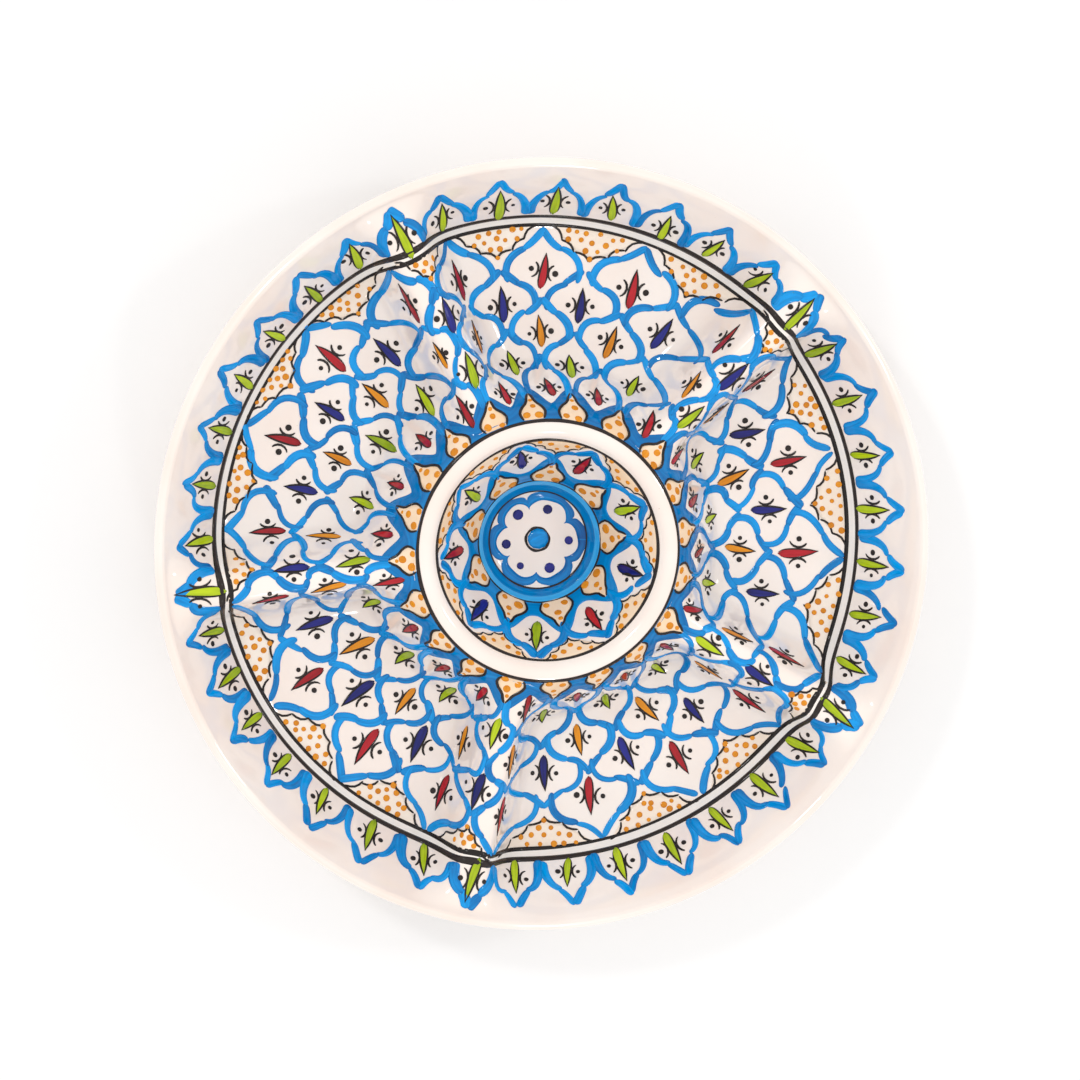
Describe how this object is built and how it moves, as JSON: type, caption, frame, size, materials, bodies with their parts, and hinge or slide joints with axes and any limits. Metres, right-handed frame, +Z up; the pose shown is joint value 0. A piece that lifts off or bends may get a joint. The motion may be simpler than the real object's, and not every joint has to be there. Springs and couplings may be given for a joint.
{
  "type": "divided serving plate",
  "caption": "Round divided serving plate of hand painted glazed earthenware, with a dip bowl in a raised centre ring and ridges between its outer compartments.",
  "frame": {"origin": "on the plate's axis, in the plane that the foot ring stands on", "axes": "+Z up along the plate's axis; +X points into a compartment, between two ridges, and +Y follows"},
  "size_m": [0.33, 0.33, 0.055],
  "materials": {
    "white_glaze": "clear glossy glaze over warm white slip",
    "foot_glaze": "thinner glossy glaze, wiped back to bare clay where it stands",
    "blue_brushwork": "turquoise to cobalt brush strokes under the glaze",
    "black_linework": "fine black-brown outlines under the glaze",
    "green_brushwork": "yellow-green brush strokes under the glaze",
    "red_brushwork": "red brush strokes under the glaze",
    "navy_brushwork": "navy brush strokes under the glaze",
    "orange_brushwork": "orange brush strokes and dots under the glaze"
  },
  "bodies": {
    "root": {"foot_ring": "foot_glaze", "dip_bowl": "white_glaze", "centre_ring": "white_glaze", "compartment_1": "white_glaze", "ridge_1": "white_glaze", "compartment_2": "white_glaze", "ridge_2": "white_glaze", "compartment_3": "white_glaze", "ridge_3": "white_glaze", "compartment_4": "white_glaze", "ridge_4": "white_glaze", "compartment_5": "white_glaze", "ridge_5": "white_glaze", "rim_wall": "white_glaze", "rim_lip": "white_glaze"}
  },
  "joints": []
}
